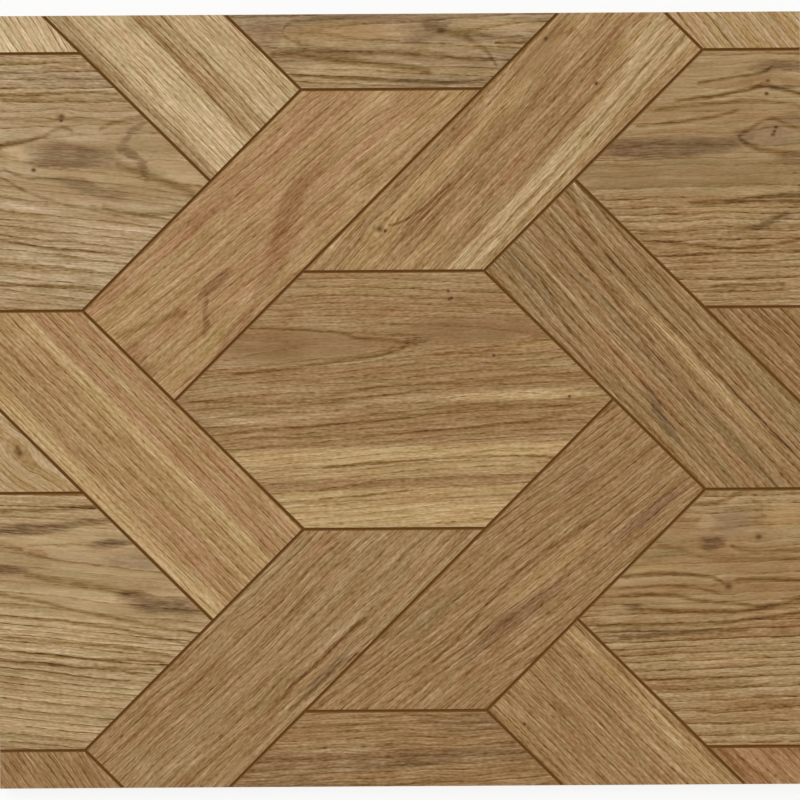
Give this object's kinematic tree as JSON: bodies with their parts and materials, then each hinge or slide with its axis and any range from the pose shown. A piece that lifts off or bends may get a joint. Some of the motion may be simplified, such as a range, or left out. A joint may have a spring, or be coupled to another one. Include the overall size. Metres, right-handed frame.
{
  "type": "hexagon parquet tile",
  "caption": "Flat rectangular oak parquet tile: hexagon blocks framed by a basket weave of mitred planks, with bevelled V joints, for laying as a decorative wood floor.",
  "frame": {"origin": "centre of the underside", "axes": "+Z out of the walked-on face, +X along the longer side, to the right in the picture, +Y up in the picture"},
  "size_m": [0.5, 0.48, 0.015],
  "materials": {
    "oak": "matt oiled oak"
  },
  "bodies": {
    "root": {"hexagon_top_centre": "oak", "hexagon_upper_left": "oak", "hexagon_upper_right": "oak", "hexagon_middle_centre": "oak", "hexagon_lower_left": "oak", "hexagon_lower_right": "oak", "hexagon_bottom_centre": "oak", "plank_top_left_a": "oak", "plank_top_left_b": "oak", "plank_top_right_b": "oak", "plank_upper_centre_a": "oak", "plank_upper_centre_b": "oak", "plank_middle_left_a": "oak", "plank_middle_left_b": "oak", "plank_middle_right_a": "oak", "plank_middle_right_b": "oak", "plank_lower_centre_a": "oak", "plank_lower_centre_b": "oak", "plank_bottom_left_a": "oak", "plank_bottom_right_a": "oak", "plank_bottom_right_b": "oak"}
  },
  "joints": []
}
